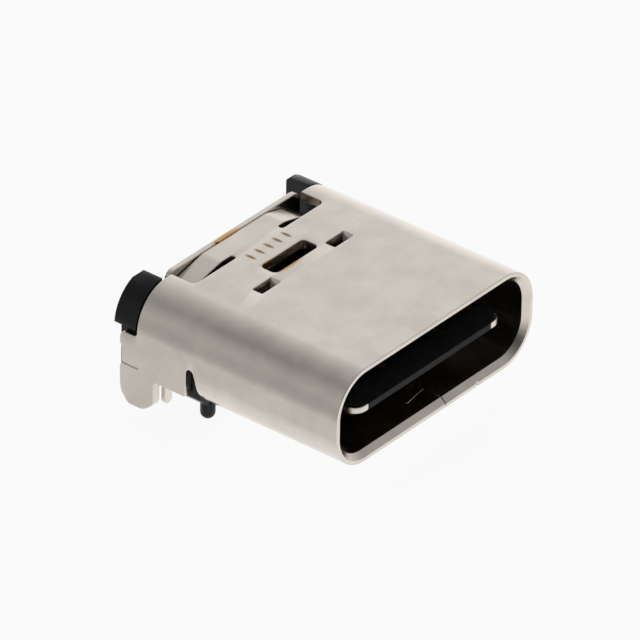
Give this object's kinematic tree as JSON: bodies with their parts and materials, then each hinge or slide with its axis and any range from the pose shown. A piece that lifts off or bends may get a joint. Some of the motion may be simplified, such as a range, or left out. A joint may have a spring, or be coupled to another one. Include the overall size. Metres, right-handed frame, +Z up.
{
  "type": "usb type c socket",
  "caption": "Board-mount type C socket: folded metal shell with four-sided mouth, contact tongue, plastic housing, rear cover and legs for a circuit board.",
  "frame": {"origin": "on the board plane, on the centre line, midway between the two plastic locating pegs", "axes": "+X to the right seen from the mouth, +Y from the mouth to the rear, +Z up from the board"},
  "size_m": [0.009, 0.0086, 0.0038],
  "materials": {
    "nickel_shell": "satin nickel plate",
    "steel_cover": "satin",
    "black_plastic": "fine moulded matt",
    "tongue_plastic": "fine moulded matt",
    "steel_plate": "satin",
    "gold_contact": "gold plate"
  },
  "bodies": {
    "root": {"outer_shell": "nickel_shell", "rear_cover": "steel_cover", "housing": "black_plastic", "tongue": "tongue_plastic", "mid_plate": "steel_plate", "upper_ground_pad": "steel_plate", "lower_ground_pad": "steel_plate", "upper_contact_1": "gold_contact", "upper_contact_2": "gold_contact", "upper_contact_3": "gold_contact", "upper_contact_4": "gold_contact", "upper_contact_5": "gold_contact", "upper_contact_6": "gold_contact", "upper_contact_7": "gold_contact", "upper_contact_8": "gold_contact", "upper_contact_9": "gold_contact", "upper_contact_10": "gold_contact", "upper_contact_11": "gold_contact", "upper_contact_12": "gold_contact", "lower_contact_1": "gold_contact", "lower_contact_2": "gold_contact", "lower_contact_3": "gold_contact", "lower_contact_4": "gold_contact", "lower_contact_5": "gold_contact", "lower_contact_6": "gold_contact", "lower_contact_7": "gold_contact", "lower_contact_8": "gold_contact", "lower_contact_9": "gold_contact", "lower_contact_10": "gold_contact", "lower_contact_11": "gold_contact", "lower_contact_12": "gold_contact"}
  },
  "joints": []
}
